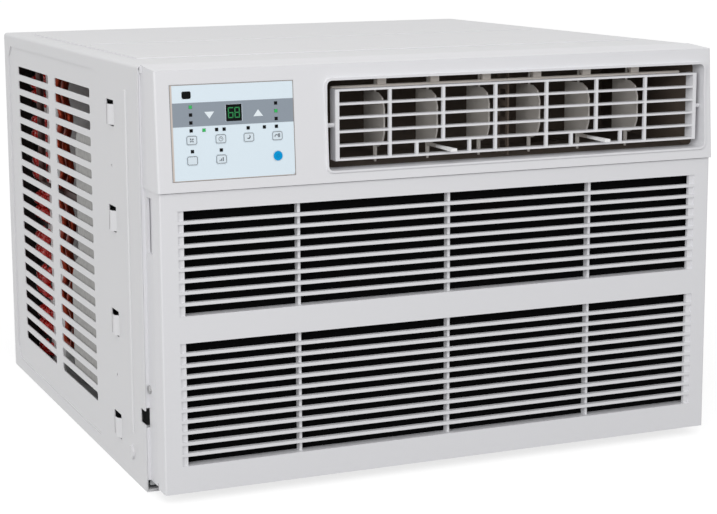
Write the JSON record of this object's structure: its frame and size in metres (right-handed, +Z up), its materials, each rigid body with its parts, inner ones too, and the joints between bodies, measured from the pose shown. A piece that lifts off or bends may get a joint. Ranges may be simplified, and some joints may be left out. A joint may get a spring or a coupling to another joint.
{
  "type": "window air conditioner",
  "caption": "Window-mounted room air conditioner with a slide-out chassis, louvred steel cabinet, slatted intake grille, control keys and an outlet with tilting louvers and turning vanes.",
  "frame": {"origin": "middle of the footprint, on the surface the unit stands on", "axes": "+Z up, -Y towards the room (front panel), +X to the right of a person who faces the front"},
  "size_m": [0.669, 0.6752, 0.4508],
  "materials": {
    "cabinet_paint": "low gloss powder coat",
    "zinc_sheet": "galvanised sheet",
    "front_moulding": "fine texture",
    "filter_mesh": "open mesh",
    "louver_plastic": "fine texture",
    "air_duct_plastic": "moulded foam and plastic",
    "label_print": "printed label",
    "key_cap": "smooth",
    "power_cap": "smooth",
    "lamp_lens": "clear",
    "dark_window": "smoked",
    "circuit_board": "varnished",
    "fan_plastic": "moulded",
    "shaft_steel": "ground",
    "motor_paint": "satin",
    "coil_fins": "mill finish",
    "copper_tube": "drawn copper",
    "grommet_rubber": "matt",
    "capacitor_can": "drawn can"
  },
  "bodies": {
    "unit": {"cabinet_shell": "cabinet_paint", "cabinet_floor": "cabinet_paint", "base_pan": "zinc_sheet", "bulkhead": "zinc_sheet", "fan_shroud": "zinc_sheet", "motor_bracket": "zinc_sheet", "condenser_end_plates": "zinc_sheet", "evaporator_end_plates": "zinc_sheet", "top_brace": "zinc_sheet", "control_box": "zinc_sheet", "front_bezel": "front_moulding", "outlet_duct": "air_duct_plastic", "blower_scroll": "air_duct_plastic", "drain_tray": "air_duct_plastic", "control_overlay": "label_print", "indicator_lenses": "lamp_lens", "display_window": "dark_window", "receiver_window": "dark_window", "control_board": "circuit_board", "panel_screws": "shaft_steel", "side_screws": "shaft_steel", "fan_motor": "motor_paint", "compressor": "motor_paint", "accumulator": "motor_paint", "evaporator_fins": "coil_fins", "condenser_fins": "coil_fins", "evaporator_tubes": "copper_tube", "condenser_tubes": "copper_tube", "discharge_pipe": "copper_tube", "suction_pipe": "copper_tube", "liquid_pipe": "copper_tube", "filter_drier": "copper_tube", "capillary_pipe": "copper_tube", "compressor_grommets": "grommet_rubber", "run_capacitor": "capacitor_can"},
    "grille": {"intake_grille": "front_moulding", "air_filter": "filter_mesh"},
    "louver": {"louver_frame": "louver_plastic"},
    "vane_1": {"vane_1": "louver_plastic"},
    "vane_2": {"vane_2": "louver_plastic"},
    "vane_3": {"vane_3": "louver_plastic"},
    "vane_4": {"vane_4": "louver_plastic"},
    "vane_5": {"vane_5": "louver_plastic"},
    "vane_6": {"vane_6": "louver_plastic"},
    "link_left": {"vane_link_left": "louver_plastic"},
    "link_right": {"vane_link_right": "louver_plastic"},
    "rotor": {"motor_shaft": "shaft_steel", "blower_wheel": "fan_plastic", "condenser_fan": "fan_plastic"},
    "key_fan_body": {"key_fan": "key_cap"},
    "key_timer_body": {"key_timer": "key_cap"},
    "key_sleep_body": {"key_sleep": "key_cap"},
    "key_mode_body": {"key_mode": "key_cap"},
    "key_filter_body": {"key_filter": "key_cap"},
    "key_saver_body": {"key_saver": "key_cap"},
    "key_power_body": {"key_power": "power_cap"},
    "key_down_body": {"key_down": "key_cap"},
    "key_up_body": {"key_up": "key_cap"}
  },
  "joints": [
    {"name": "grille_hinge", "type": "hinge", "parent": "unit", "child": "grille", "pos_m": [0, -0.31395, 0.0145], "axis": [1, 0, 0], "range_deg": [0, 55]},
    {"name": "louver_tilt", "type": "hinge", "parent": "unit", "child": "louver", "pos_m": [0.087, -0.31195, 0.382], "axis": [1, 0, 0], "range_deg": [-15, 15]},
    {"name": "vane_1_turn", "type": "hinge", "parent": "unit", "child": "vane_1", "pos_m": [-0.0665, -0.27295, 0.382], "axis": [0, 0, 1], "range_deg": [-22, 22]},
    {"name": "vane_2_turn", "type": "hinge", "parent": "unit", "child": "vane_2", "pos_m": [-0.0042, -0.27295, 0.382], "axis": [0, 0, 1], "range_deg": [-22, 22]},
    {"name": "vane_3_turn", "type": "hinge", "parent": "unit", "child": "vane_3", "pos_m": [0.0581, -0.27295, 0.382], "axis": [0, 0, 1], "range_deg": [-22, 22]},
    {"name": "vane_4_turn", "type": "hinge", "parent": "unit", "child": "vane_4", "pos_m": [0.1204, -0.27295, 0.382], "axis": [0, 0, 1], "range_deg": [-22, 22]},
    {"name": "vane_5_turn", "type": "hinge", "parent": "unit", "child": "vane_5", "pos_m": [0.1827, -0.27295, 0.382], "axis": [0, 0, 1], "range_deg": [-22, 22]},
    {"name": "vane_6_turn", "type": "hinge", "parent": "unit", "child": "vane_6", "pos_m": [0.245, -0.27295, 0.382], "axis": [0, 0, 1], "range_deg": [-22, 22]},
    {"name": "link_left_turn", "type": "hinge", "parent": "vane_2", "child": "link_left", "pos_m": [-0.0042, -0.25295, 0.413], "axis": [0, 0, 1], "range_deg": [-22, 22]},
    {"name": "link_right_turn", "type": "hinge", "parent": "vane_5", "child": "link_right", "pos_m": [0.1827, -0.25295, 0.413], "axis": [0, 0, 1], "range_deg": [-22, 22]},
    {"name": "rotor_spin", "type": "hinge", "parent": "unit", "child": "rotor", "pos_m": [0.06, -0.02295, 0.205], "axis": [0, 1, 0], "continuous": true},
    {"name": "key_fan_press", "type": "slide", "parent": "unit", "child": "key_fan_body", "axis": [0, 0.9978, -0.0661], "range_m": [0, 0.0005], "stiffness_N_per_m": 600},
    {"name": "key_timer_press", "type": "slide", "parent": "unit", "child": "key_timer_body", "axis": [0, 0.9978, -0.0661], "range_m": [0, 0.0005], "stiffness_N_per_m": 600},
    {"name": "key_sleep_press", "type": "slide", "parent": "unit", "child": "key_sleep_body", "axis": [0, 0.9978, -0.0661], "range_m": [0, 0.0005], "stiffness_N_per_m": 600},
    {"name": "key_mode_press", "type": "slide", "parent": "unit", "child": "key_mode_body", "axis": [0, 0.9978, -0.0661], "range_m": [0, 0.0005], "stiffness_N_per_m": 600},
    {"name": "key_filter_press", "type": "slide", "parent": "unit", "child": "key_filter_body", "axis": [0, 0.9978, -0.0661], "range_m": [0, 0.0005], "stiffness_N_per_m": 600},
    {"name": "key_saver_press", "type": "slide", "parent": "unit", "child": "key_saver_body", "axis": [0, 0.9978, -0.0661], "range_m": [0, 0.0005], "stiffness_N_per_m": 600},
    {"name": "key_power_press", "type": "slide", "parent": "unit", "child": "key_power_body", "axis": [0, 0.9978, -0.0661], "range_m": [0, 0.0005], "stiffness_N_per_m": 600},
    {"name": "key_down_press", "type": "slide", "parent": "unit", "child": "key_down_body", "axis": [0, 0.9978, -0.0661], "range_m": [0, 0.0005], "stiffness_N_per_m": 600},
    {"name": "key_up_press", "type": "slide", "parent": "unit", "child": "key_up_body", "axis": [0, 0.9978, -0.0661], "range_m": [0, 0.0005], "stiffness_N_per_m": 600}
  ],
  "couplings": [
    {"joint": "vane_1_turn", "follows": "vane_2_turn", "ratio": 1},
    {"joint": "vane_3_turn", "follows": "vane_2_turn", "ratio": 1},
    {"joint": "vane_4_turn", "follows": "vane_5_turn", "ratio": 1},
    {"joint": "vane_6_turn", "follows": "vane_5_turn", "ratio": 1},
    {"joint": "link_left_turn", "follows": "vane_2_turn", "ratio": -1},
    {"joint": "link_right_turn", "follows": "vane_5_turn", "ratio": -1}
  ]
}
